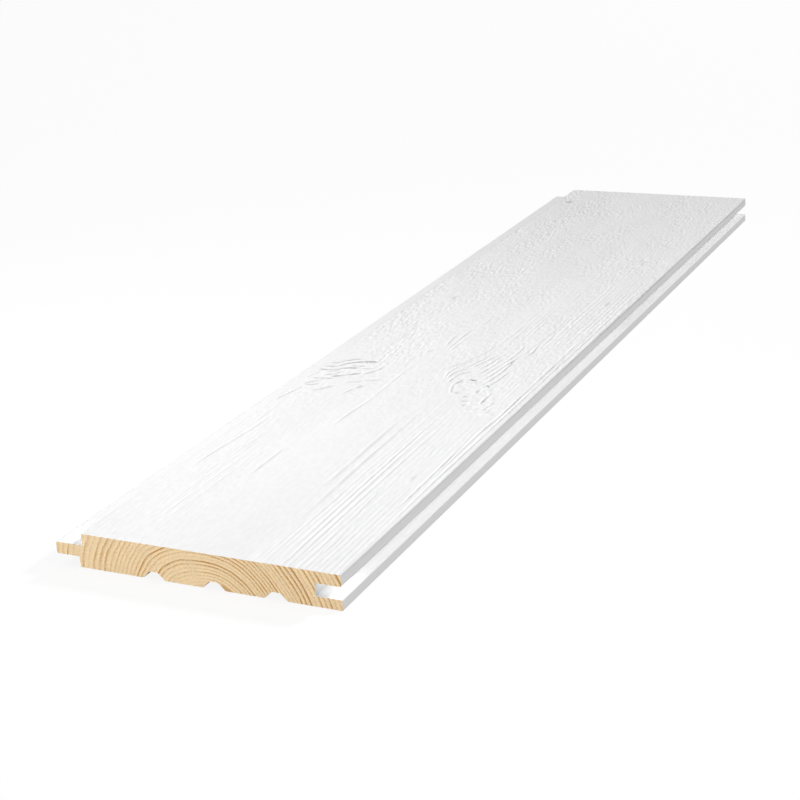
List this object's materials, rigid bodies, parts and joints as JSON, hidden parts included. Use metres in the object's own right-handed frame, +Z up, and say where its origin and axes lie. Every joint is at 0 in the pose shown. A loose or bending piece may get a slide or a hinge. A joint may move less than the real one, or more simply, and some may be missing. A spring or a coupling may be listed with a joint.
{
  "type": "tongue and groove board",
  "caption": "Flat white-painted pine wall board with a tongue on one edge, a matching groove on the other, a stepped face edge for a shadow joint, and relief channels along its back.",
  "frame": {"origin": "middle of the board's footprint, at the height of its back", "axes": "+X across the board from the tongue to the groove, +Y along its length, +Z up out of the finished face"},
  "size_m": [0.12, 0.525, 0.014],
  "materials": {
    "painted_pine": "matt white paint over brushed pine on the face and both edges, bare planed pine on the back and the sawn ends"
  },
  "bodies": {
    "root": {"board": "painted_pine"}
  },
  "joints": []
}
